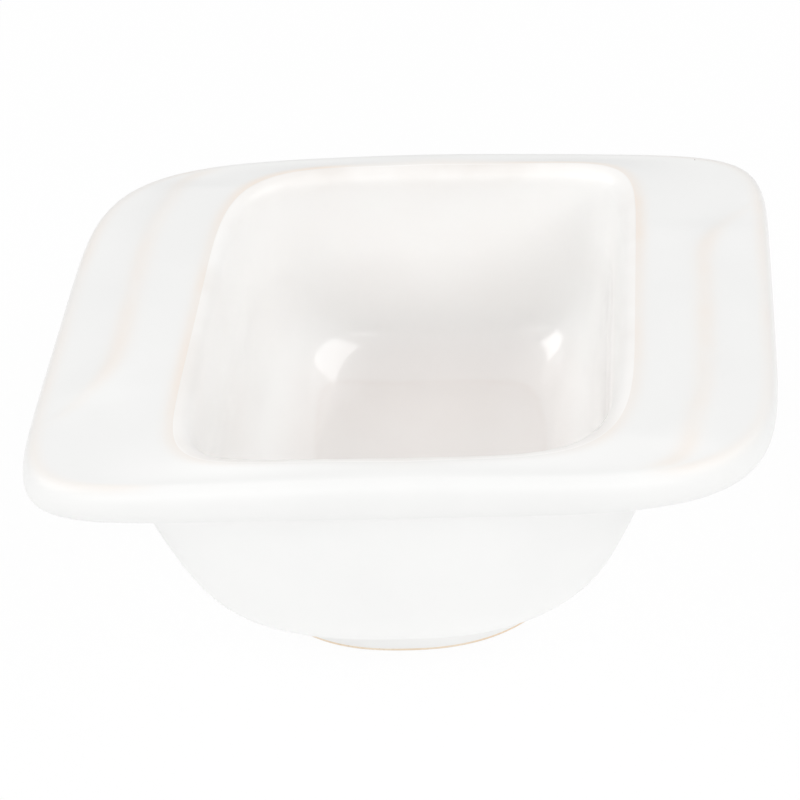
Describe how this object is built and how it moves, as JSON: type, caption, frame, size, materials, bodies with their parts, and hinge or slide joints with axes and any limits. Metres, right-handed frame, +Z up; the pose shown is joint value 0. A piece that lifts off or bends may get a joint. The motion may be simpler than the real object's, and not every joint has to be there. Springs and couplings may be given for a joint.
{
  "type": "ceramic dish",
  "caption": "Small glazed ceramic dish with a deep square well, rippled side wings to hold it by and a low foot ring, for sauces, dips and condiments.",
  "frame": {"origin": "middle of the standing face, on the upright axis about which the rim and foot repeat after half a turn", "axes": "+Z up out of the well, X along the two wings, -Y towards the viewer of the picture"},
  "size_m": [0.115, 0.0796, 0.05],
  "materials": {
    "clay": "bare fired clay, seen only on the standing edge",
    "gloss_glaze": "glossy white glaze, slightly warm",
    "satin_glaze": "soft white glaze that thins to a warm line on the crests"
  },
  "bodies": {
    "root": {"bowl": "clay", "rim": "clay", "foot_ring": "clay", "liner_glaze": "gloss_glaze", "outer_glaze": "satin_glaze", "base_glaze": "satin_glaze"}
  },
  "joints": []
}
